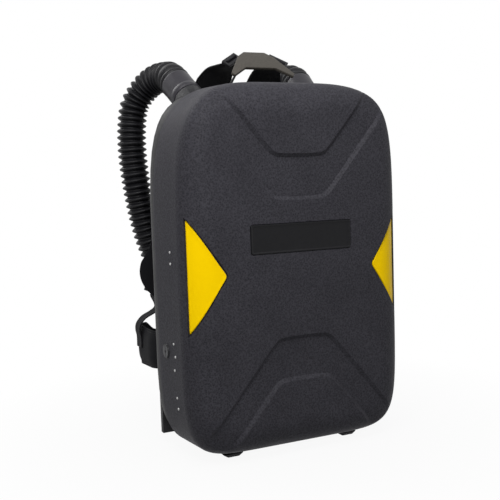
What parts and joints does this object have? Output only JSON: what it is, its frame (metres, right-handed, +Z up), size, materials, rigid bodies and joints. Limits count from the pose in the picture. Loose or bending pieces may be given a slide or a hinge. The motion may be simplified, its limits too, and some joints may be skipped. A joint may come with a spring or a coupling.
{
  "type": "closed-circuit breathing apparatus",
  "caption": "Back-worn closed-circuit breathing apparatus: rounded moulded case with lift-off front cover, breathing hoses, carry handle, harness, and the oxygen and absorber circuit inside",
  "frame": {"origin": "centre of the object's bottom, on the ground under its feet, measured without the breathing hoses and their connector", "axes": "+X to the right of someone facing the cover, -Y out of the cover's front, +Z up"},
  "size_m": [0.3822, 0.3282, 0.6259],
  "materials": {
    "case_moulding": "grained charcoal moulding",
    "black_moulding": "black moulded plastic",
    "yellow_panel": "warm yellow plastic",
    "steel": "bright steel",
    "dark_steel": "blackened metal",
    "aluminium": "satin aluminium",
    "brass": "machined brass",
    "black_rubber": "black rubber",
    "grey_rubber": "dark grey smooth rubber",
    "bag_rubber": "dark grey bag rubber",
    "handle_moulding": "grey-brown moulded plastic",
    "strap_fabric": "black woven webbing and padding",
    "cylinder_paint": "painted metal",
    "green_moulding": "green moulded plastic",
    "pale_moulding": "pale grey moulded plastic"
  },
  "bodies": {
    "base": {"back_frame": "black_moulding", "foot_left": "black_rubber", "foot_right": "black_rubber", "spigot_left": "black_moulding", "spigot_right": "black_moulding", "hose_cuff_left": "grey_rubber", "hose_cuff_right": "grey_rubber", "hose_clamp_left": "steel", "hose_clamp_right": "steel", "hose_left": "black_rubber", "hose_right": "black_rubber", "mask_connector": "black_moulding", "carry_handle": "handle_moulding", "handle_link_left": "steel", "handle_link_right": "steel", "strap_slider_left": "black_moulding", "strap_slider_right": "black_moulding", "shoulder_strap_left": "strap_fabric", "shoulder_strap_right": "strap_fabric", "strap_adjuster_left": "black_moulding", "strap_adjuster_right": "black_moulding", "lower_strap_left": "strap_fabric", "lower_strap_right": "strap_fabric", "back_pad": "strap_fabric", "lumbar_pad": "strap_fabric", "hip_belt_left": "strap_fabric", "hip_belt_right": "strap_fabric", "buckle_socket": "black_moulding", "buckle_prong": "black_moulding", "oxygen_cylinder": "cylinder_paint", "cylinder_cradle": "black_moulding", "cylinder_band_left": "steel", "cylinder_band_right": "steel", "cylinder_valve": "brass", "pressure_reducer": "brass", "absorber_canister": "green_moulding", "cooler_canister": "pale_moulding", "breathing_bag": "bag_rubber", "bag_hinge": "aluminium", "demand_valve": "brass", "relief_valve": "brass", "exhale_duct": "pale_moulding", "inhale_duct": "pale_moulding", "dosing_tube": "brass"},
    "cover": {"front_cover": "case_moulding", "nameplate": "black_moulding", "side_panel_left": "yellow_panel", "side_panel_right": "yellow_panel", "cover_rail_left": "steel", "cover_rail_right": "steel"},
    "lock_left": {"lock_left": "dark_steel"},
    "lock_right": {"lock_right": "dark_steel"},
    "handwheel": {"valve_handwheel": "black_moulding"},
    "bypass": {"bypass_button": "yellow_panel"},
    "cooler_lid": {"cooler_lid": "black_moulding"},
    "bag_plate": {"bag_plate": "aluminium"},
    "demand_lever": {"demand_lever": "steel"},
    "relief_plunger": {"relief_plunger": "steel"},
    "coupling_nut": {"coupling_nut": "black_moulding"}
  },
  "joints": [
    {"name": "cover_lift", "type": "slide", "parent": "base", "child": "cover", "axis": [0, -1, 0], "range_m": [0, 0.25]},
    {"name": "lock_left_turn", "type": "hinge", "parent": "cover", "child": "lock_left", "pos_m": [-0.18742, -0.051, 0.1666], "axis": [-1, 0, 0], "range_deg": [0, 90]},
    {"name": "lock_right_turn", "type": "hinge", "parent": "cover", "child": "lock_right", "pos_m": [0.18742, -0.051, 0.1666], "axis": [-1, 0, 0], "range_deg": [0, 90]},
    {"name": "handwheel_turn", "type": "hinge", "parent": "base", "child": "handwheel", "pos_m": [0.1283, -0.051, 0.0936], "axis": [1, 0, 0], "range_deg": [0, 720]},
    {"name": "bypass_press", "type": "slide", "parent": "base", "child": "bypass", "axis": [0, 1, 0], "range_m": [0, 0.004], "stiffness_N_per_m": 1500, "springref_m": -0.002},
    {"name": "cooler_lid_turn", "type": "hinge", "parent": "base", "child": "cooler_lid", "pos_m": [-0.0875, 0.0142, 0.2586], "axis": [0, -1, 0], "range_deg": [0, 60]},
    {"name": "bag_plate_swing", "type": "hinge", "parent": "base", "child": "bag_plate", "pos_m": [0, -0.1133, 0.5281], "axis": [-1, 0, 0], "range_deg": [0, 19], "stiffness_Nm_per_rad": 0.6, "springref_deg": -20.05},
    {"name": "demand_lever_tilt", "type": "hinge", "parent": "base", "child": "demand_lever", "pos_m": [0.035, -0.05414, 0.3744], "axis": [1, 0, 0], "range_deg": [0, 12], "stiffness_Nm_per_rad": 0.02, "springref_deg": -11.46},
    {"name": "relief_plunger_slide", "type": "slide", "parent": "base", "child": "relief_plunger", "axis": [0, 1, 0], "range_m": [0, 0.003], "stiffness_N_per_m": 600, "springref_m": -0.002},
    {"name": "coupling_nut_turn", "type": "hinge", "parent": "base", "child": "coupling_nut", "pos_m": [0, 0.154, 0.2], "axis": [0, 0, 1], "continuous": true}
  ]
}
